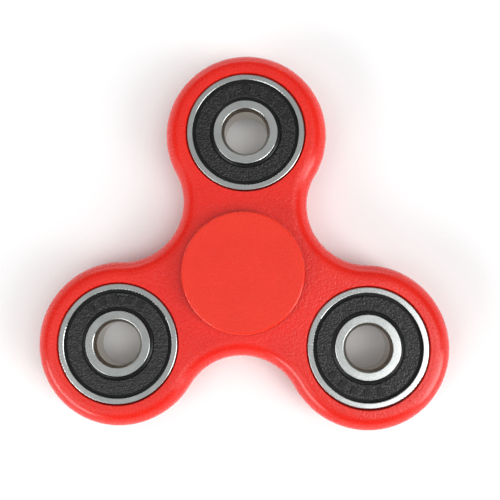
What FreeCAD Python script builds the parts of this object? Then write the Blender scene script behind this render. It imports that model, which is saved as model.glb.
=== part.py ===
"""Three-lobed fidget spinner, built from its separate pieces. Millimetres, +Z along the spin axis.

The origin is the centre of the middle bearing: on the spin axis, halfway through the thickness.
Lobe 1 points along +Y, and lobes 2 and 3 follow at 120 degrees, anticlockwise seen from above.

The frame holds four ball bearings of one standard size. The finger caps grip the inner ring of the middle
bearing, so the frame turns about them. Each lobe carries a sealed bearing whose inner ring turns freely.
The middle bearing has no seals, so that it spins for longer, and its balls run in a moulded crown cage.
"""

import FreeCAD, Part

import math
import os

Vector = FreeCAD.Vector

# ---------------------------------------------------------------- driving dimensions

# Ball bearing, the standard 8 x 22 x 7 size
BEARING_BORE_R = 4.0
BEARING_OUTER_R = 11.0
BEARING_WIDTH = 7.0
BALL_R = 3.969 / 2
BALL_COUNT = 7
BALL_PITCH_R = 7.5
GROOVE_R = 1.05 * BALL_R
BALL_PLAY = 0.04

# Inner ring
INNER_SHOULDER_R = 5.95
BORE_CHAMFER_WIDTH = 0.52
BORE_CHAMFER_DEPTH = 1.0
BORE_CHAMFER_EDGE = 0.12
INNER_RIM_EDGE = 0.1

# Outer ring
OUTER_SHOULDER_R = 8.95
OUTER_RIM_EDGE = 0.25
SEAL_RECESS_R = 9.9
SEAL_RECESS_EDGE = 0.12
SEAL_SHELF_Z = 2.5
SNAP_GROOVE_R = 10.2
SNAP_GROOVE_TOP_Z = 2.95

# Rubber seal
SEAL_BEAD_R = 10.15
SEAL_FLANGE_Z = 2.75
SEAL_FACE_Z = 3.3
SEAL_FACE_OUTER_R = 9.3
SEAL_FACE_INNER_R = 6.75
SEAL_UNDERSIDE_Z = 2.62
SEAL_WAIST_R = 6.5
SEAL_WAIST_Z = 3.02
SEAL_LIP_CREST_R = 6.28
SEAL_LIP_CREST_Z = 3.2
SEAL_LIP_PLAY = 0.05
SEAL_BEAD_EDGE = 0.1
SEAL_EDGE = 0.12
SEAL_FINE_EDGE = 0.05

# Pressed steel cage of a lobe bearing, two halves
CAGE_SHEET = 0.3
CAGE_INNER_R = 6.75
CAGE_OUTER_R = 8.25
CAGE_PLAY = 0.1
TAB_WIDTH = 0.9
TAB_SHEET = 0.16
TAB_FOLD = 0.6

# Moulded crown cage of the middle bearing
CROWN_INNER_R = 6.5
CROWN_OUTER_R = 8.5
CROWN_BASE_Z = -2.75
CROWN_TIP_Z = 0.8
CROWN_NOTCH_R = 0.62

# Frame
LOBE_PITCH_R = 26.3
LOBE_R = 15.1
WAIST_DISTANCE = 15.1
FRAME_THICKNESS = 7.4
FRAME_EDGE_R = 3.0
SEAT_LEAD_WIDTH = 0.28
SEAT_LEAD_DEPTH = 0.7

# Finger caps
CAP_R = 11.15
CAP_TOP_Z = 6.0
CAP_UNDERSIDE_Z = 4.3
CAP_TOP_EDGE_R = 0.4
CAP_LOWER_EDGE_R = 0.2
CAP_SHOULDER_R = 5.6
CAP_PEG_END_Z = 0.15
CAP_PEG_CHAMFER = 0.4
CAP_CORE_R = 2.4
CAP_CORE_TOP_Z = 4.7

# ---------------------------------------------------------------- derived dimensions

HALF_WIDTH = BEARING_WIDTH / 2
BALL_STEP = 360.0 / BALL_COUNT
FIRST_BALL_ANGLE = 90.0
CUT_MARGIN = 1.0
INNER_GROOVE_CENTRE_R = BALL_PITCH_R - BALL_R - BALL_PLAY + GROOVE_R
OUTER_GROOVE_CENTRE_R = BALL_PITCH_R + BALL_R + BALL_PLAY - GROOVE_R
LOBE_ANGLES = (90.0, 210.0, 330.0)
UP = Vector(0, 0, 1)
ORIGIN = Vector(0, 0, 0)


# ---------------------------------------------------------------- helpers


def polar(radius, angle, z=0.0):
    """The point at a radius and an angle in degrees about the Z axis."""
    turn = math.radians(angle)
    return Vector(radius * math.cos(turn), radius * math.sin(turn), z)


def rounded(points):
    """Edges of a closed outline in the XZ plane. A point is (r, z) or (r, z, corner radius)."""
    corners = []
    count = len(points)
    for i, point in enumerate(points):
        here = Vector(point[0], 0, point[1])
        radius = point[2] if len(point) > 2 else 0.0
        if not radius:
            corners.append((here, here, None))
            continue
        before = Vector(points[i - 1][0], 0, points[i - 1][1]) - here
        after = Vector(points[(i + 1) % count][0], 0, points[(i + 1) % count][1]) - here
        half = before.getAngle(after) / 2
        reach = radius / math.tan(half)
        before.normalize()
        after.normalize()
        inward = before + after
        inward.normalize()
        centre = here + inward * (radius / math.sin(half))
        corners.append((here + before * reach, here + after * reach, centre - inward * radius))
    edges = []
    for i, (start, end, middle) in enumerate(corners):
        if middle is not None:
            edges.append(Part.Arc(start, middle, end).toShape())
        following = corners[(i + 1) % count][0]
        if end.distanceToPoint(following) > 1e-6:
            edges.append(Part.LineSegment(end, following).toShape())
    return edges


def turned(edges, sweep=360):
    """The solid made by turning a closed outline about the Z axis."""
    face = Part.Face(Part.Wire(Part.__sortEdges__(edges)))
    return face.revolve(ORIGIN, UP, sweep)


def ring_between(inner_r, outer_r, low_z, high_z):
    """A plain flat-ended ring."""
    blank = Part.makeCylinder(outer_r, high_z - low_z, Vector(0, 0, low_z))
    return blank.cut(Part.makeCylinder(inner_r, high_z - low_z, Vector(0, 0, low_z)))


def flipped(shape):
    """A copy turned over about the X axis, so that its top is underneath."""
    copy = shape.copy()
    copy.rotate(ORIGIN, Vector(1, 0, 0), 180)
    return copy


def placed(shape, centre):
    """A copy moved to a bearing's centre."""
    copy = shape.copy()
    copy.translate(centre)
    return copy


def ball_groove(centre_r, shoulder_r, side):
    """What a ring loses to its ball groove, which bulges inwards (side -1) or outwards (side 1)."""
    reach = math.sqrt(GROOVE_R**2 - (shoulder_r - centre_r) ** 2)
    low = Vector(shoulder_r, 0, -reach)
    high = Vector(shoulder_r, 0, reach)
    back_low = Vector(BALL_PITCH_R, 0, -reach)
    back_high = Vector(BALL_PITCH_R, 0, reach)
    return turned(
        [
            Part.Arc(low, Vector(centre_r + side * GROOVE_R, 0, 0), high).toShape(),
            Part.LineSegment(high, back_high).toShape(),
            Part.LineSegment(back_high, back_low).toShape(),
            Part.LineSegment(back_low, low).toShape(),
        ]
    )


def ball_angles():
    return [FIRST_BALL_ANGLE + BALL_STEP * i for i in range(BALL_COUNT)]


# ---------------------------------------------------------------- ball bearing


def inner_ring():
    """Inner ring: plain bore with a steep chamfer at each mouth, and the ball groove round its outside."""
    mouth_r = BEARING_BORE_R + BORE_CHAMFER_WIDTH
    bore_end_z = HALF_WIDTH - BORE_CHAMFER_DEPTH
    blank = turned(
        rounded(
            [
                (BEARING_BORE_R, -bore_end_z),
                (mouth_r, -HALF_WIDTH, BORE_CHAMFER_EDGE),
                (INNER_SHOULDER_R, -HALF_WIDTH, INNER_RIM_EDGE),
                (INNER_SHOULDER_R, HALF_WIDTH, INNER_RIM_EDGE),
                (mouth_r, HALF_WIDTH, BORE_CHAMFER_EDGE),
                (BEARING_BORE_R, bore_end_z),
            ]
        )
    )
    return blank.cut(ball_groove(INNER_GROOVE_CENTRE_R, INNER_SHOULDER_R, -1))


def outer_ring():
    """Outer ring: rounded rims, the ball groove inside, and a seal recess with a snap groove at each end."""
    upper = [
        (BEARING_OUTER_R, HALF_WIDTH, OUTER_RIM_EDGE),
        (SEAL_RECESS_R, HALF_WIDTH, SEAL_RECESS_EDGE),
        (SEAL_RECESS_R, SNAP_GROOVE_TOP_Z),
        (SNAP_GROOVE_R, SNAP_GROOVE_TOP_Z),
        (SNAP_GROOVE_R, SEAL_SHELF_Z),
        (OUTER_SHOULDER_R, SEAL_SHELF_Z, OUTER_RIM_EDGE),
    ]
    lower = [(point[0], -point[1], *point[2:]) for point in reversed(upper)]
    blank = turned(rounded(upper + lower))
    return blank.cut(ball_groove(OUTER_GROOVE_CENTRE_R, OUTER_SHOULDER_R, 1))


def seal():
    """Upper rubber seal: a bead in the snap groove, a low flange, the broad face, a waist and the lip."""
    return turned(
        rounded(
            [
                (SEAL_BEAD_R, SEAL_SHELF_Z, SEAL_BEAD_EDGE),
                (SEAL_BEAD_R, SEAL_FLANGE_Z, SEAL_BEAD_EDGE),
                (SEAL_FACE_OUTER_R, SEAL_FLANGE_Z, SEAL_FINE_EDGE),
                (SEAL_FACE_OUTER_R, SEAL_FACE_Z, SEAL_EDGE),
                (SEAL_FACE_INNER_R, SEAL_FACE_Z, SEAL_EDGE),
                (SEAL_WAIST_R, SEAL_WAIST_Z, SEAL_FINE_EDGE),
                (SEAL_LIP_CREST_R, SEAL_LIP_CREST_Z, SEAL_FINE_EDGE),
                (INNER_SHOULDER_R + SEAL_LIP_PLAY, SEAL_WAIST_Z, SEAL_FINE_EDGE),
                (INNER_SHOULDER_R + SEAL_LIP_PLAY, SEAL_UNDERSIDE_Z),
                (OUTER_SHOULDER_R, SEAL_UNDERSIDE_Z),
                (OUTER_SHOULDER_R + OUTER_RIM_EDGE, SEAL_SHELF_Z),
            ]
        )
    )


def balls():
    """The balls, one solid each, round the pitch circle."""
    return [Part.makeSphere(BALL_R, polar(BALL_PITCH_R, angle)) for angle in ball_angles()]


def cage_half():
    """Upper half of a pressed ribbon cage: a dome over each ball, joined by flat bridges at mid-height."""
    band = ring_between(CAGE_INNER_R, CAGE_OUTER_R, 0, BALL_PITCH_R)
    pocket_r = BALL_R + CAGE_PLAY
    sheet = ring_between(CAGE_INNER_R, CAGE_OUTER_R, 0, CAGE_SHEET)
    for angle in ball_angles():
        dome = Part.makeSphere(pocket_r + CAGE_SHEET, polar(BALL_PITCH_R, angle))
        sheet = sheet.fuse(dome.common(band))
    for angle in ball_angles():
        sheet = sheet.cut(Part.makeSphere(pocket_r, polar(BALL_PITCH_R, angle)))
    return sheet.removeSplitter()


def cage_tab():
    """A tab on the X axis, which rises from the lower cage half's rim and folds over the upper half."""
    rim = CAGE_OUTER_R
    top = CAGE_SHEET + TAB_SHEET
    outline = [
        (rim, -CAGE_SHEET),
        (rim + TAB_SHEET, -CAGE_SHEET),
        (rim + TAB_SHEET, top),
        (rim - TAB_FOLD, top),
        (rim - TAB_FOLD, CAGE_SHEET),
        (rim, CAGE_SHEET),
    ]
    sweep = math.degrees(TAB_WIDTH / rim)
    tab = turned(rounded(outline), sweep)
    tab.rotate(ORIGIN, UP, -sweep / 2)
    return tab


def cage_halves():
    """The two halves of the ribbon cage. The lower one carries the tabs that hold the upper one."""
    upper = cage_half()
    lower = flipped(cage_half())
    lower.rotate(ORIGIN, UP, 2 * FIRST_BALL_ANGLE)
    for angle in ball_angles():
        tab = cage_tab()
        tab.rotate(ORIGIN, UP, angle + BALL_STEP / 2)
        lower = lower.fuse(tab)
    return upper, lower.removeSplitter()


def crown_cage():
    """One-piece moulded cage: pockets that snap over the balls from below, with a notch between each two."""
    crown = ring_between(CROWN_INNER_R, CROWN_OUTER_R, CROWN_BASE_Z, CROWN_TIP_Z)
    notch_length = CROWN_OUTER_R - CROWN_INNER_R + 2 * CUT_MARGIN
    for angle in ball_angles():
        crown = crown.cut(Part.makeSphere(BALL_R + CAGE_PLAY, polar(BALL_PITCH_R, angle)))
        start = polar(CROWN_INNER_R - CUT_MARGIN, angle + BALL_STEP / 2, CROWN_TIP_Z)
        outward = polar(1, angle + BALL_STEP / 2)
        notch = Part.makeCylinder(CROWN_NOTCH_R, notch_length, start, outward)
        crown = crown.cut(notch)
    return crown


# ---------------------------------------------------------------- frame and caps


def frame_outline():
    """The outline of the frame: three lobe arcs joined by three hollow arcs that meet them smoothly."""
    waist_r = (
        LOBE_PITCH_R**2 + WAIST_DISTANCE**2 - LOBE_PITCH_R * WAIST_DISTANCE - LOBE_R**2
    ) / (2 * LOBE_R - 2 * WAIST_DISTANCE + LOBE_PITCH_R)
    edges = []
    for angle in LOBE_ANGLES:
        lobe = polar(LOBE_PITCH_R, angle)
        before = polar(WAIST_DISTANCE + waist_r, angle - 60)
        after = polar(WAIST_DISTANCE + waist_r, angle + 60)
        next_lobe = polar(LOBE_PITCH_R, angle + 120)
        join_before = lobe + (before - lobe).normalize() * LOBE_R
        join_after = lobe + (after - lobe).normalize() * LOBE_R
        join_next = next_lobe + (after - next_lobe).normalize() * LOBE_R
        edges.append(Part.Arc(join_before, polar(LOBE_PITCH_R + LOBE_R, angle), join_after).toShape())
        edges.append(Part.Arc(join_after, polar(WAIST_DISTANCE, angle + 60), join_next).toShape())
    return Part.Wire(Part.__sortEdges__(edges))


def seat_cutter():
    """What is taken out of the frame for one bearing: the bore, and a steep lead-in at each mouth."""
    half = FRAME_THICKNESS / 2
    mouth_r = BEARING_OUTER_R + SEAT_LEAD_WIDTH
    return turned(
        rounded(
            [
                (0, -half - CUT_MARGIN),
                (mouth_r, -half - CUT_MARGIN),
                (mouth_r, -half),
                (BEARING_OUTER_R, -half + SEAT_LEAD_DEPTH),
                (BEARING_OUTER_R, half - SEAT_LEAD_DEPTH),
                (mouth_r, half),
                (mouth_r, half + CUT_MARGIN),
                (0, half + CUT_MARGIN),
            ]
        )
    )


def frame():
    """One moulding with four bearing seats and a broad rounded edge."""
    half = FRAME_THICKNESS / 2
    face = Part.Face(frame_outline())
    face.translate(Vector(0, 0, -half))
    body = face.extrude(UP * FRAME_THICKNESS)
    rims = [edge for edge in body.Edges if abs(abs(edge.CenterOfMass.z) - half) < 1e-6]
    body = body.makeFillet(FRAME_EDGE_R, rims)
    cutter = seat_cutter()
    for centre in [ORIGIN] + [polar(LOBE_PITCH_R, angle) for angle in LOBE_ANGLES]:
        body = body.cut(placed(cutter, centre))
    return body


def finger_cap():
    """Upper finger cap: a flat disc, a shoulder on the inner ring's end, and a cored peg in its bore."""
    return turned(
        rounded(
            [
                (0, CAP_TOP_Z),
                (CAP_R, CAP_TOP_Z, CAP_TOP_EDGE_R),
                (CAP_R, CAP_UNDERSIDE_Z, CAP_LOWER_EDGE_R),
                (CAP_SHOULDER_R, CAP_UNDERSIDE_Z, CAP_LOWER_EDGE_R),
                (CAP_SHOULDER_R, HALF_WIDTH),
                (BEARING_BORE_R, HALF_WIDTH),
                (BEARING_BORE_R, CAP_PEG_END_Z + CAP_PEG_CHAMFER),
                (BEARING_BORE_R - CAP_PEG_CHAMFER, CAP_PEG_END_Z),
                (CAP_CORE_R, CAP_PEG_END_Z),
                (CAP_CORE_R, CAP_CORE_TOP_Z),
                (0, CAP_CORE_TOP_Z),
            ]
        )
    )


# ---------------------------------------------------------------- assembly


def assembly():
    """Every piece of the spinner, by name."""
    pieces = {
        "tri_frame": frame(),
        "top_finger_cap": finger_cap(),
        "bottom_finger_cap": flipped(finger_cap()),
        "centre_inner_ring": inner_ring(),
        "centre_outer_ring": outer_ring(),
        "centre_crown_cage": crown_cage(),
    }
    for number, ball in enumerate(balls(), 1):
        pieces[f"centre_ball_{number}"] = ball
    upper_cage, lower_cage = cage_halves()
    lobe_bearing = {
        "inner_ring": inner_ring(),
        "outer_ring": outer_ring(),
        "upper_cage_half": upper_cage,
        "lower_cage_half": lower_cage,
        "upper_seal": seal(),
        "lower_seal": flipped(seal()),
    }
    for number, ball in enumerate(balls(), 1):
        lobe_bearing[f"ball_{number}"] = ball
    for lobe, angle in enumerate(LOBE_ANGLES, 1):
        for name, shape in lobe_bearing.items():
            turned_copy = shape.copy()
            turned_copy.rotate(ORIGIN, UP, angle - LOBE_ANGLES[0])
            pieces[f"lobe_{lobe}_{name}"] = placed(turned_copy, polar(LOBE_PITCH_R, angle))
    return pieces


def main():
    os.makedirs("parts", exist_ok=True)
    for name, shape in assembly().items():
        if not shape.isValid() or len(shape.Solids) != 1:
            raise ValueError(f"{name} is not one valid solid")
        shape.exportStep(f"parts/{name}.step")
        print(f"{name}: {shape.Volume:.2f} mm3")


main()
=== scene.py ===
import math

import bmesh
import bpy
from mathutils import Matrix, Vector


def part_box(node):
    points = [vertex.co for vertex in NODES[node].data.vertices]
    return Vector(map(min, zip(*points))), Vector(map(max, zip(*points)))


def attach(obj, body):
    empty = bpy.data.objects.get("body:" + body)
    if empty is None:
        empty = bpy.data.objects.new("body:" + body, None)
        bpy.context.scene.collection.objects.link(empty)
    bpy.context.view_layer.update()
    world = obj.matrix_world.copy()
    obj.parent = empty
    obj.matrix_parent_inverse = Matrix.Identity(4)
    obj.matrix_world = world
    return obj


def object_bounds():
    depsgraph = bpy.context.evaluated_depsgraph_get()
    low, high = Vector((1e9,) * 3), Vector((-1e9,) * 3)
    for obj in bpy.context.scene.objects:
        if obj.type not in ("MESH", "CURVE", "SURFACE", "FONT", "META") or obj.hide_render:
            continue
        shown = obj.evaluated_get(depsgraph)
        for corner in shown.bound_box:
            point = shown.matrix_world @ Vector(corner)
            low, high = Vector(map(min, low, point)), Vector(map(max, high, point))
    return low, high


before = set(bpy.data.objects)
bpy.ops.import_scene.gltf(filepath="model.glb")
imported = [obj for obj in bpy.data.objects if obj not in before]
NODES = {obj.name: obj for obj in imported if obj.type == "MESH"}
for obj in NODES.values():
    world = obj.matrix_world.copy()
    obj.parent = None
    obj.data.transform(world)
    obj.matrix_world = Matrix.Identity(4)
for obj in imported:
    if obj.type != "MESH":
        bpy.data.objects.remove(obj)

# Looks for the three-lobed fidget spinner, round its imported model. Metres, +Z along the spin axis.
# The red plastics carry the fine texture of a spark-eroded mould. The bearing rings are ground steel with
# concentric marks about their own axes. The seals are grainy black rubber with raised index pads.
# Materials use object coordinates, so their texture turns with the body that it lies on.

CAD_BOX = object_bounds()
MM = 0.001
LOBES = (1, 2, 3)
LOBE_ANGLES = {lobe: math.radians(90 + 120 * (lobe - 1)) for lobe in LOBES}
# Half the turn from one lobe to the next.
SIXTH = math.radians(60)

# ---------------------------------------------------------------- places, from the frame


def centre_of(node):
    """The middle of a node's box."""
    low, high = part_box(node)
    return (low + high) / 2


LOBE_CENTRES = {lobe: centre_of(f"lobe_{lobe}_outer_ring") for lobe in LOBES}
LOBE_PITCH = LOBE_CENTRES[1].length
LOBE_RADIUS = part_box("tri_frame")[1].y - LOBE_PITCH
HUB_CENTRE = Vector((0, 0, 0))
SEAT_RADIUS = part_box("centre_outer_ring")[1].x
SEAL_FACE_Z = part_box("lobe_1_upper_seal")[1].z
# The hollows between the lobes come this near to the spin axis.
WAIST_DISTANCE = 15.1 * MM
FLOOR_Z = CAD_BOX[0].z

# ---------------------------------------------------------------- node helpers

# A Mix node has sockets of every type, and these are its colour ones.
MIX_COLOURS_IN = (6, 7)
MIX_COLOUR_OUT = 2
# Nearly all of a noise texture's values lie in the wider range, and most of them in the narrower one.
NOISE_RANGE = (0.3, 0.7)
TONE_RANGE = (0.35, 0.65)


def add(tree, kind, inputs=None, **settings):
    """A node with its settings, and its inputs given as values or as the sockets that feed them."""
    node = tree.nodes.new(kind)
    for name, value in settings.items():
        setattr(node, name, value)
    for name, value in (inputs or {}).items():
        if isinstance(value, bpy.types.NodeSocket):
            tree.links.new(value, node.inputs[name])
        else:
            node.inputs[name].default_value = value
    return node


def maths(tree, operation, first, second=0.0):
    """The result of an operation on two numbers."""
    return add(tree, "ShaderNodeMath", {0: first, 1: second}, operation=operation).outputs[0]


def vector_maths(tree, operation, first, second=(0.0, 0.0, 0.0)):
    """The outputs of an operation on two vectors: a vector first, then a number named Value."""
    return add(tree, "ShaderNodeVectorMath", {0: first, 1: second}, operation=operation).outputs


def weighed(tree, first, weight, second):
    """A mix of two heights or tones: the weight of the first, and the rest of the second."""
    first_part = maths(tree, "MULTIPLY", first, weight)
    second_part = maths(tree, "MULTIPLY", second, 1 - weight)
    return maths(tree, "ADD", first_part, second_part)


def mapped(tree, value, low, high, to_low, to_high):
    """A value taken from one range to another, and held inside it."""
    inputs = {"Value": value, "From Min": low, "From Max": high, "To Min": to_low, "To Max": to_high}
    return add(tree, "ShaderNodeMapRange", inputs).outputs["Result"]


def spread_noise(tree, value, to_low, to_high):
    """Noise taken from its usual range to another one."""
    return mapped(tree, value, *NOISE_RANGE, to_low, to_high)


def ranged(tree, share, at_none, at_full):
    """A share between 0 and 1 taken to a range."""
    return mapped(tree, share, 0.0, 1.0, at_none, at_full)


def noise(tree, place, size, detail=2.0, rough=0.5):
    """Soft noise whose blotches are about the given size."""
    inputs = {"Vector": place, "Scale": 1 / size, "Detail": detail, "Roughness": rough}
    return add(tree, "ShaderNodeTexNoise", inputs).outputs["Fac"]


def blended(tree, factor, first, second):
    """A colour between two colours, given as tuples or sockets."""
    mix = add(tree, "ShaderNodeMix", {"Factor": factor}, data_type="RGBA")
    for index, colour in zip(MIX_COLOURS_IN, (first, second)):
        socket = mix.inputs[index]
        if isinstance(colour, bpy.types.NodeSocket):
            tree.links.new(colour, socket)
        else:
            socket.default_value = (*colour, 1)
    return mix.outputs[MIX_COLOUR_OUT]


def toned(tree, tone, first, second):
    """A colour that goes from the first to the second as a noisy tone rises."""
    return blended(tree, mapped(tree, tone, *TONE_RANGE, 0.0, 1.0), first, second)


def bumped(tree, height, depth, strength=1.0, normal=None):
    """A surface normal from a height between 0 and 1 that stands for a depth in metres."""
    inputs = {"Height": height, "Distance": depth, "Strength": strength}
    if normal is not None:
        inputs["Normal"] = normal
    return add(tree, "ShaderNodeBump", inputs).outputs["Normal"]


def material(name, **sockets):
    """A new material: its tree, its shader with the given sockets set, and its coordinates node."""
    made = bpy.data.materials.new(name)
    made.use_nodes = True
    tree = made.node_tree
    shader = tree.nodes["Principled BSDF"]
    for socket, value in sockets.items():
        shader.inputs[socket.replace("_", " ")].default_value = value
    return made, tree, shader, add(tree, "ShaderNodeTexCoord")


def feed(tree, shader, **sockets):
    """Links outputs to the shader's named sockets."""
    for socket, value in sockets.items():
        tree.links.new(value, shader.inputs[socket.replace("_", " ")])


# ---------------------------------------------------------------- materials

FRAME_RED = (0.77, 0.016, 0.006)
FRAME_RED_DEEP = (0.70, 0.011, 0.005)
CAP_RED = (0.80, 0.026, 0.006)
CAP_RED_DEEP = (0.75, 0.020, 0.005)
# Painted shade: a near-black red for the narrow gap round each bearing.
GAP_PAINTED_SHADE = (0.10, 0.004, 0.003)
RED_DUST = (0.85, 0.55, 0.50)
STEEL_DULL = (0.46, 0.485, 0.475)
STEEL_BRIGHT = (0.58, 0.605, 0.595)
BORE_BROWN = (0.56, 0.52, 0.46)
BALL_DULL = (0.66, 0.66, 0.66)
BALL_BRIGHT = (0.74, 0.74, 0.75)
CAGE_DULL = (0.40, 0.385, 0.36)
CAGE_BRIGHT = (0.54, 0.53, 0.51)
# Painted shade for the rubber grain's creases, then painted sheen for its crowns.
RUBBER_CREASE_SHADE = (0.0004, 0.0004, 0.0007)
RUBBER_CROWN_SHEEN = (0.010, 0.010, 0.0125)
# Painted shade for the flange down in the groove, and the pads' plain dark rubber.
RUBBER_FLANGE_SHADE_AND_PADS = (0.0008, 0.0008, 0.001)
RUBBER_DUST = (0.20, 0.19, 0.17)
NYLON_DEEP = (0.70, 0.65, 0.53)
NYLON_PALE = (0.80, 0.76, 0.66)
PAPER_DEEP = (0.91, 0.92, 0.92)
PAPER_PALE = (0.95, 0.96, 0.96)

PLASTIC_IOR = 1.5
MATTE_PLASTIC_IOR = 1.47
RUBBER_IOR = 1.5
NYLON_IOR = 1.53
RED_DEPTH = {
    "Subsurface_Weight": 0.35,
    "Subsurface_Radius": (1.0, 0.22, 0.12),
    "Subsurface_Scale": 0.7 * MM,
}
NYLON_DEPTH = {
    "Subsurface_Weight": 0.15,
    "Subsurface_Radius": (1.0, 0.8, 0.6),
    "Subsurface_Scale": 0.6 * MM,
}

# A face counts as flat where its normal's Z passes from the first value to the second.
FRAME_FLAT = (0.955, 0.995)
CAP_FLAT = (0.90, 0.99)
# Each of these pairs is for the rounded edge, then for the flat face.
FRAME_ROUGHNESS = (0.25, 0.30)
FRAME_RELIEF = (0.02, 1.0)
CAP_ROUGHNESS = (0.18, 0.58)
CAP_RELIEF = (0.05, 1.0)
FRAME_GRAIN = 0.45 * MM
FRAME_GRAIN_DEPTH = 0.072 * MM
CAP_GRAIN = 0.26 * MM
CAP_GRAIN_DEPTH = 0.085 * MM
SEAL_GRAIN = 0.38 * MM
SEAL_GRAIN_DEPTH = 0.19 * MM
GRAIN_SHARE = 0.62
WAVE_LENGTH = 3 * MM
WAVE_DEPTH = 0.03 * MM
SPECK_SHARE = 1 / 7
GRIND_PITCH = 0.05 * MM
GRIND_DEPTH = 0.0012 * MM
MOTTLE_DEPTH = 0.0022 * MM
STREAK_DEPTH = 0.003 * MM
# Squashing the streaks' places along Z makes the streaks themselves longer that way.
STREAK_SQUASH = 0.2
# The steel is browner down the bore, and the brown ends across its chamfer, between these distances from
# the axis.
BORE_BROWN_END = (4.1 * MM, 4.6 * MM)
# The painted shade in a bearing's gap fades out between these distances from its axis.
GAP_SHADE_BAND = (SEAT_RADIUS + 0.04 * MM, SEAT_RADIUS + 0.20 * MM)
# Heights on a seal: from the flange, darkened with painted shade, up to its face, over the rim of the
# face, and up onto the pads.
FLANGE_TO_FACE = (2.9 * MM, 3.15 * MM)
FACE_RIM = (SEAL_FACE_Z - 0.1 * MM, SEAL_FACE_Z - 0.03 * MM)
FACE_TO_PAD = (SEAL_FACE_Z + 0.04 * MM, SEAL_FACE_Z + 0.1 * MM)
# Where the rubber's grain goes from its creases to its crowns, and its colour from painted shade in the
# creases to painted sheen on the crowns.
CREASE_TO_CROWN = (0.4, 0.7)
SHADE_TO_SHEEN_RANGE = (0.42, 0.64)
FLANGE_EXTRA_ROUGHNESS = 0.4
PAD_EXTRA_ROUGHNESS = 0.35


def dust_specks(tree, place, cell, radius):
    """1 on a few tiny specks, 0 elsewhere. A speck lies in only a share of the cells."""
    inputs = {"Vector": place, "Scale": 1 / cell, "Randomness": 1.0}
    cells = add(tree, "ShaderNodeTexVoronoi", inputs)
    near = maths(tree, "LESS_THAN", cells.outputs["Distance"], radius / cell)
    pick = add(tree, "ShaderNodeSeparateColor", {"Color": cells.outputs["Color"]}).outputs["Red"]
    return maths(tree, "MULTIPLY", near, maths(tree, "LESS_THAN", pick, SPECK_SHARE))


def mould_grain(tree, place, size):
    """Height of a spark-eroded mould surface: rounded grains with creases between them, and finer grit."""
    wander = add(tree, "ShaderNodeTexNoise", {"Vector": place, "Scale": 0.5 / size, "Detail": 1.0})
    moved = vector_maths(tree, "MULTIPLY", wander.outputs["Color"], (size, size, size))[0]
    spread = vector_maths(tree, "ADD", place, moved)[0]
    cells = add(tree, "ShaderNodeTexVoronoi", {"Vector": spread, "Scale": 1 / size})
    grains = maths(tree, "SUBTRACT", 1.0, cells.outputs["Distance"])
    return weighed(tree, grains, GRAIN_SHARE, noise(tree, place, 0.45 * size))


def flatness(tree, coordinates, band):
    """0 where a face slopes and 1 where it is level."""
    upright = add(tree, "ShaderNodeSeparateXYZ", {"Vector": coordinates.outputs["Normal"]}).outputs["Z"]
    return mapped(tree, maths(tree, "ABSOLUTE", upright), *band, 0.0, 1.0)


def axis_distance(tree, place, centre):
    """The distance from a bearing's axis."""
    local = vector_maths(tree, "SUBTRACT", place, (centre.x, centre.y, 0.0))[0]
    level = vector_maths(tree, "MULTIPLY", local, (1.0, 1.0, 0.0))[0]
    return vector_maths(tree, "LENGTH", level)["Value"]


def seat_gap_shade(tree, place):
    """0 in the narrow gap round each bearing, where painted shade darkens the red, and 1 on the open
    faces.
    """
    nearest = axis_distance(tree, place, HUB_CENTRE)
    for centre in LOBE_CENTRES.values():
        nearest = maths(tree, "MINIMUM", nearest, axis_distance(tree, place, centre))
    return mapped(tree, nearest, *GAP_SHADE_BAND, 0.0, 1.0)


def frame_plastic():
    """Satin red ABS: grained on the flat faces, smoother and glossier round the edge."""
    made, tree, shader, coordinates = material("frame_plastic", IOR=PLASTIC_IOR, **RED_DEPTH)
    place = coordinates.outputs["Object"]
    flat = flatness(tree, coordinates, FRAME_FLAT)
    speckle = noise(tree, place, 0.3 * MM)
    blotches = noise(tree, place, 9 * MM, detail=3.0)
    tone = weighed(tree, blotches, 0.6, speckle)
    colour = toned(tree, tone, FRAME_RED_DEEP, FRAME_RED)
    colour = blended(tree, dust_specks(tree, place, cell=5 * MM, radius=0.07 * MM), colour, RED_DUST)
    # Painted shade: the red goes near black in the narrow gap round each bearing.
    colour = blended(tree, seat_gap_shade(tree, place), GAP_PAINTED_SHADE, colour)
    gloss = ranged(tree, flat, *FRAME_ROUGHNESS)
    rough = maths(tree, "ADD", gloss, spread_noise(tree, speckle, -0.04, 0.04))
    relief = ranged(tree, flat, *FRAME_RELIEF)
    grain = bumped(tree, mould_grain(tree, place, FRAME_GRAIN), FRAME_GRAIN_DEPTH, relief)
    waves = bumped(tree, noise(tree, place, WAVE_LENGTH, detail=1.0), WAVE_DEPTH, normal=grain)
    feed(tree, shader, Base_Color=colour, Roughness=rough, Normal=waves)
    return made


def cap_plastic():
    """Matte red ABS with a fine, even grain, worn smooth round its edge."""
    made, tree, shader, coordinates = material("cap_plastic", IOR=MATTE_PLASTIC_IOR, **RED_DEPTH)
    place = coordinates.outputs["Object"]
    speckle = noise(tree, place, 0.24 * MM)
    blotches = noise(tree, place, 6 * MM)
    tone = weighed(tree, blotches, 0.5, speckle)
    colour = toned(tree, tone, CAP_RED_DEEP, CAP_RED)
    colour = blended(tree, dust_specks(tree, place, cell=4 * MM, radius=0.05 * MM), colour, RED_DUST)
    flat = flatness(tree, coordinates, CAP_FLAT)
    gloss = ranged(tree, flat, *CAP_ROUGHNESS)
    rough = maths(tree, "ADD", gloss, spread_noise(tree, speckle, -0.06, 0.06))
    relief = ranged(tree, flat, *CAP_RELIEF)
    grain = bumped(tree, mould_grain(tree, place, CAP_GRAIN), CAP_GRAIN_DEPTH, relief)
    feed(tree, shader, Base_Color=colour, Roughness=rough, Normal=grain)
    return made


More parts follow.
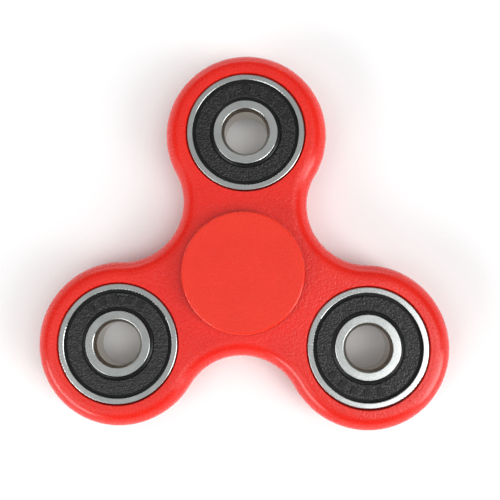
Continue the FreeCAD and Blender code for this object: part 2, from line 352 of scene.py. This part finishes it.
def ring_steel(name, centre):
    """Ground bearing steel: fine concentric marks about the bearing's own axis, and faint mottling."""
    made, tree, shader, coordinates = material(name, Metallic=1.0)
    place = coordinates.outputs["Object"]
    radius = axis_distance(tree, place, centre)
    height = add(tree, "ShaderNodeSeparateXYZ", {"Vector": place}).outputs["Z"]
    along = maths(tree, "ADD", radius, height)
    inputs = {"W": along, "Scale": 1 / GRIND_PITCH, "Detail": 3.0, "Roughness": 0.6}
    marks = add(tree, "ShaderNodeTexNoise", inputs, noise_dimensions="1D").outputs["Fac"]
    mottle = noise(tree, place, 0.25 * MM, detail=3.0, rough=0.6)
    tone = weighed(tree, marks, 0.45, noise(tree, place, 3.5 * MM, detail=3.0))
    colour = toned(tree, tone, STEEL_DULL, STEEL_BRIGHT)
    # The steel goes browner down the bore.
    outside = mapped(tree, radius, *BORE_BROWN_END, 0.0, 1.0)
    colour = blended(tree, outside, BORE_BROWN, colour)
    rough = spread_noise(tree, mottle, 0.16, 0.27)
    ground = bumped(tree, marks, GRIND_DEPTH)
    peened = bumped(tree, mottle, MOTTLE_DEPTH, normal=ground)
    feed(tree, shader, Base_Color=colour, Roughness=rough, Normal=peened)
    return made


def seal_rubber():
    """Black moulded nitrile rubber: a leathery face with painted shade in its creases and painted sheen on
    its crowns, smooth index pads in plain dark rubber, and a flange below darkened with painted shade.
    """
    made, tree, shader, coordinates = material("seal_rubber", IOR=RUBBER_IOR)
    place = coordinates.outputs["Object"]
    rise = add(tree, "ShaderNodeSeparateXYZ", {"Vector": place}).outputs["Z"]
    height = maths(tree, "ABSOLUTE", rise)
    face = mapped(tree, height, *FLANGE_TO_FACE, 0.0, 1.0)
    on_face = mapped(tree, height, *FACE_RIM, 0.0, 1.0)
    off_pads = mapped(tree, height, *FACE_TO_PAD, 1.0, 0.0)
    grain = mould_grain(tree, place, SEAL_GRAIN)
    # Painted shade in the grain's creases and painted sheen on its crowns, with some random tone.
    shade_and_sheen = weighed(tree, grain, 0.75, noise(tree, place, 2.2 * MM, detail=3.0))
    colour = blended(tree, mapped(tree, shade_and_sheen, *SHADE_TO_SHEEN_RANGE, 0.0, 1.0), RUBBER_CREASE_SHADE, RUBBER_CROWN_SHEEN)
    colour = blended(tree, dust_specks(tree, place, cell=2.6 * MM, radius=0.05 * MM), colour, RUBBER_DUST)
    # Painted shade: the flange down in the groove goes darker; the pads take the same plain dark rubber.
    colour = blended(tree, maths(tree, "MULTIPLY", face, off_pads), RUBBER_FLANGE_SHADE_AND_PADS, colour)
    rough = mapped(tree, grain, *CREASE_TO_CROWN, 0.36, 0.20)
    rough = maths(tree, "ADD", rough, ranged(tree, face, FLANGE_EXTRA_ROUGHNESS, 0.0))
    rough = maths(tree, "ADD", rough, ranged(tree, off_pads, PAD_EXTRA_ROUGHNESS, 0.0))
    relief = bumped(tree, grain, SEAL_GRAIN_DEPTH, maths(tree, "MULTIPLY", on_face, off_pads))
    feed(tree, shader, Base_Color=colour, Roughness=rough, Normal=relief)
    return made


def ball_steel():
    """Polished ball steel, a little duller in patches where the lapping shows."""
    made, tree, shader, coordinates = material("ball_steel", Metallic=1.0)
    place = coordinates.outputs["Object"]
    lapping = noise(tree, place, 0.12 * MM, detail=4.0, rough=0.7)
    colour = blended(tree, noise(tree, place, 1.5 * MM), BALL_DULL, BALL_BRIGHT)
    feed(tree, shader, Base_Color=colour, Roughness=spread_noise(tree, lapping, 0.05, 0.12))
    return made


def cage_steel():
    """Pressed sheet steel, a little browner than the rings, with drawing streaks."""
    made, tree, shader, coordinates = material("cage_steel", Metallic=1.0)
    place = coordinates.outputs["Object"]
    stretched = vector_maths(tree, "MULTIPLY", place, (1.0, 1.0, STREAK_SQUASH))[0]
    streaks = noise(tree, stretched, 0.18 * MM, detail=4.0, rough=0.6)
    colour = blended(tree, noise(tree, place, 1.2 * MM), CAGE_DULL, CAGE_BRIGHT)
    rough = spread_noise(tree, streaks, 0.26, 0.42)
    feed(tree, shader, Base_Color=colour, Roughness=rough, Normal=bumped(tree, streaks, STREAK_DEPTH))
    return made


def crown_nylon():
    """Natural moulded nylon: off-white, waxy, faintly mottled."""
    made, tree, shader, coordinates = material("crown_nylon", IOR=NYLON_IOR, **NYLON_DEPTH)
    place = coordinates.outputs["Object"]
    mottle = noise(tree, place, 0.8 * MM, detail=3.0)
    colour = blended(tree, mottle, NYLON_DEEP, NYLON_PALE)
    rough = spread_noise(tree, mottle, 0.38, 0.5)
    feed(tree, shader, Base_Color=colour, Roughness=rough, Normal=bumped(tree, mottle, 0.01 * MM))
    return made


def dress(node, made):
    """Gives a CAD node its material."""
    for slot in NODES[node].material_slots:
        slot.material = made


def dress_the_cad():
    """Gives every CAD node its material. Returns the two that the moulded detail shares."""
    frame_red = frame_plastic()
    rubber = seal_rubber()
    shared = {
        "ball": ball_steel(),
        "cage_half": cage_steel(),
        "crown_cage": crown_nylon(),
        "cap": cap_plastic(),
        "seal": rubber,
        "tri_frame": frame_red,
    }
    for node in NODES:
        for word, made in shared.items():
            if word in node:
                dress(node, made)
    places = {f"lobe_{lobe}": centre for lobe, centre in LOBE_CENTRES.items()}
    places["centre"] = HUB_CENTRE
    for bearing, centre in places.items():
        steel = ring_steel(f"{bearing}_steel", centre)
        dress(f"{bearing}_inner_ring", steel)
        dress(f"{bearing}_outer_ring", steel)
    return frame_red, rubber


# ---------------------------------------------------------------- small moulded detail

PAD_COUNT = 5
PAD_STEP = math.radians(17)
# The middle of each lobe's row of pads, anticlockwise from +X.
PAD_ANGLES = {1: math.radians(56), 2: math.radians(95), 3: math.radians(252)}
PAD_RADIUS = 8.1 * MM
PAD_WIDTH = 1.1 * MM
PAD_LENGTH = 1.35 * MM
PAD_CORNER = 0.3 * MM
PAD_HEIGHT = 0.2 * MM
PAD_BEVEL = 0.06 * MM
PAD_ROOT = 0.03 * MM
LINE_WIDTH = 0.16 * MM
LINE_HEIGHT = 0.04 * MM
LINE_ROOT = 0.1 * MM
LINE_STEP = 0.4 * MM


def compass(angle):
    """The level unit vector at an angle from +X."""
    return Vector((math.cos(angle), math.sin(angle)))


def mesh_object(name, mesh, made):
    """A new object in the scene from a bmesh, which it uses up."""
    bmesh.ops.recalc_face_normals(mesh, faces=mesh.faces)
    data = bpy.data.meshes.new(name)
    mesh.to_mesh(data)
    mesh.free()
    data.materials.append(made)
    piece = bpy.data.objects.new(name, data)
    bpy.context.scene.collection.objects.link(piece)
    return piece


def joined(mesh, rims):
    """Faces between each rim of points and the next."""
    count = len(rims[0])
    for lower, upper in zip(rims, rims[1:]):
        for i in range(count):
            j = (i + 1) % count
            mesh.faces.new((lower[i], lower[j], upper[j], upper[i]))


def rounded_rectangle(width, length, corner, steps=5):
    """Corner points of a rectangle with round corners, anticlockwise."""
    points = []
    for side_x, side_y, start in ((1, 1, 0), (-1, 1, 90), (-1, -1, 180), (1, -1, 270)):
        middle = Vector((side_x * (width / 2 - corner), side_y * (length / 2 - corner)))
        for i in range(steps + 1):
            points.append(middle + corner * compass(math.radians(start + 90 * i / steps)))
    return points


def add_pad(mesh, centre, turn, base_z, side):
    """One raised pad on a seal's face, closed all round, with its foot a little inside the rubber."""
    layers = (
        (0.0, -PAD_ROOT),
        (0.0, PAD_HEIGHT - PAD_BEVEL),
        (0.3 * PAD_BEVEL, PAD_HEIGHT - 0.3 * PAD_BEVEL),
        (PAD_BEVEL, PAD_HEIGHT),
    )
    rims = []
    for inset, height in layers:
        rim = []
        for x, y in rounded_rectangle(PAD_WIDTH - 2 * inset, PAD_LENGTH - 2 * inset, PAD_CORNER - inset):
            level = centre.xy + (PAD_RADIUS + y) * compass(turn - x / PAD_RADIUS)
            rim.append(mesh.verts.new((*level, base_z + side * height)))
        rims.append(rim)
    joined(mesh, rims)
    mesh.faces.new(rims[-1])
    mesh.faces.new(rims[0])


def index_pads(lobe, which, rubber):
    """The row of plain raised pads moulded on one seal."""
    low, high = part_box(f"lobe_{lobe}_{which}_seal")
    side, base_z = (1, high.z) if which == "upper" else (-1, low.z)
    mesh = bmesh.new()
    for i in range(PAD_COUNT):
        turn = PAD_ANGLES[lobe] + (i - (PAD_COUNT - 1) / 2) * PAD_STEP
        add_pad(mesh, LOBE_CENTRES[lobe], turn, base_z, side)
    piece = mesh_object(f"lobe_{lobe}_{which}_seal_pads", mesh, rubber)
    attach(piece, "rotor")


def arc(centre, radius, start, sweep, outward):
    """Points along an arc, each with the direction that faces out of the frame there."""
    count = round(abs(sweep) * radius / LINE_STEP)
    spots = []
    for i in range(count):
        away = compass(start + sweep * i / count)
        spots.append((centre + away * radius, away * outward))
    return spots


def frame_outline():
    """Points round the frame's edge: the three lobe arcs, and the hollow arc that follows each one."""
    pitch, lobe_r, waist = LOBE_PITCH, LOBE_RADIUS, WAIST_DISTANCE
    hollow_r = (pitch**2 + waist**2 - pitch * waist - lobe_r**2) / (2 * lobe_r - 2 * waist + pitch)
    spots = []
    for angle in LOBE_ANGLES.values():
        lobe = pitch * compass(angle)
        hollow = (waist + hollow_r) * compass(angle + SIXTH)
        towards_hollow = hollow - lobe
        lean = (math.atan2(towards_hollow.y, towards_hollow.x) - angle) % math.tau
        spots += arc(lobe, lobe_r, angle - lean, 2 * lean, 1)
        spots += arc(hollow, hollow_r, angle + lean + math.pi, 2 * (SIXTH - lean), -1)
    return spots


def parting_line(frame_red):
    """The faint ridge that the mould's two halves leave round the middle of the frame's edge."""
    section = (
        (-LINE_ROOT, -LINE_WIDTH / 2),
        (LINE_HEIGHT, -LINE_WIDTH / 6),
        (LINE_HEIGHT, LINE_WIDTH / 6),
        (-LINE_ROOT, LINE_WIDTH / 2),
    )
    mesh = bmesh.new()
    rims = []
    for spot, out in frame_outline():
        rims.append([mesh.verts.new((*(spot + out * reach), z)) for reach, z in section])
    joined(mesh, rims + rims[:1])
    piece = mesh_object("frame_parting_line", mesh, frame_red)
    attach(piece, "rotor")


# ---------------------------------------------------------------- studio

CAMERA_PLACE = Vector((4.9, -5.5, 131.3)) * MM
CAMERA_TARGET = Vector((1.05, 4.55, 0.0)) * MM
CAMERA_ROLL = math.radians(0.72)
CAMERA_LENS = 50.4
CAMERA_SENSOR = 36.0
CAMERA_CLIP = (0.005, 20.0)
FLOOR_HALF = 12.0
SOFTBOX_DISTANCE = 5.5
# Azimuth and elevation in degrees, then width and height over distance, then radiance.
SOFTBOXES = {
    "right_window": (-25, 29, (0.51, 0.44), 6.6),
    "left_window": (220, 27, (0.76, 0.29), 6.2),
    "far_fill": (95, 12, (1.20, 0.22), 1.2),
    "overhead_right": (-24, 59, (0.46, 0.66), 3.6),
    "overhead_left": (212, 57, (0.45, 0.36), 2.0),
}
# The sine of the elevation, then the radiance there: bright low down, dim above, and paler overhead.
SKY = ((0.0, 1.1), (0.25, 0.93), (0.42, 0.15), (0.70, 0.15), (0.85, 0.56), (1.0, 0.56))


def grey(level):
    """An opaque grey."""
    return (level, level, level, 1.0)


def camera():
    """A level camera looking down on the spinner, turned a little about its own axis."""
    data = bpy.data.cameras.new("camera")
    data.lens = CAMERA_LENS
    data.sensor_width = CAMERA_SENSOR
    data.clip_start, data.clip_end = CAMERA_CLIP
    piece = bpy.data.objects.new("camera", data)
    bpy.context.scene.collection.objects.link(piece)
    piece.location = CAMERA_PLACE
    back = (CAMERA_PLACE - CAMERA_TARGET).normalized()
    right = compass(CAMERA_ROLL).to_3d()
    right = (right - back * right.dot(back)).normalized()
    piece.rotation_mode = "QUATERNION"
    piece.rotation_quaternion = Matrix((right, back.cross(right), back)).transposed().to_quaternion()
    bpy.context.scene.camera = piece


def heading(azimuth, elevation):
    """The unit vector at an azimuth from +X and an elevation above the floor, in degrees."""
    rise = math.radians(elevation)
    level = compass(math.radians(azimuth)) * math.cos(rise)
    return Vector((*level, math.sin(rise)))


def softbox(name, azimuth, elevation, spread, radiance):
    """A rectangular softbox that faces the object."""
    data = bpy.data.lights.new(name, "AREA")
    data.shape = "RECTANGLE"
    data.size = spread[0] * SOFTBOX_DISTANCE
    data.size_y = spread[1] * SOFTBOX_DISTANCE
    data.energy = math.pi * data.size * data.size_y * radiance
    lamp = bpy.data.objects.new(name, data)
    bpy.context.scene.collection.objects.link(lamp)
    towards = heading(azimuth, elevation)
    lamp.location = towards * SOFTBOX_DISTANCE
    lamp.rotation_mode = "QUATERNION"
    lamp.rotation_quaternion = (-towards).to_track_quat("-Z", "Y")


def studio():
    """The softboxes, and a sky whose brightness depends only on the elevation."""
    for name, settings in SOFTBOXES.items():
        softbox(name, *settings)
    world = bpy.data.worlds.new("studio")
    bpy.context.scene.world = world
    world.use_nodes = True
    tree = world.node_tree
    background = tree.nodes["Background"]
    direction = add(tree, "ShaderNodeTexCoord").outputs["Generated"]
    rise = add(tree, "ShaderNodeSeparateXYZ", {"Vector": direction}).outputs["Z"]
    ramp = add(tree, "ShaderNodeValToRGB", {"Fac": rise})
    stops = ramp.color_ramp.elements
    stops.remove(stops[1])
    stops[0].position, stops[0].color = SKY[0][0], grey(SKY[0][1])
    for position, level in SKY[1:]:
        stops.new(position).color = grey(level)
    tree.links.new(ramp.outputs["Color"], background.inputs["Color"])


def floor_material():
    """Pale paper with a soft fibre."""
    made, tree, shader, coordinates = material("floor_paper")
    place = coordinates.outputs["Object"]
    fibre = noise(tree, place, 0.6 * MM, detail=4.0)
    colour = blended(tree, fibre, PAPER_DEEP, PAPER_PALE)
    rough = spread_noise(tree, fibre, 0.85, 0.95)
    feed(tree, shader, Base_Color=colour, Roughness=rough, Normal=bumped(tree, fibre, 0.01 * MM))
    return made


def floor():
    """One wide level sheet under the part."""
    mesh = bmesh.new()
    corners = ((-1, -1), (1, -1), (1, 1), (-1, 1))
    mesh.faces.new([mesh.verts.new((x * FLOOR_HALF, y * FLOOR_HALF, FLOOR_Z)) for x, y in corners])
    mesh_object("floor", mesh, floor_material())


# ---------------------------------------------------------------- build


frame_red, rubber = dress_the_cad()
for lobe in LOBES:
    for which in ("upper", "lower"):
        index_pads(lobe, which, rubber)
parting_line(frame_red)
floor()
studio()
camera()
bpy.context.scene.view_settings.view_transform = "Standard"
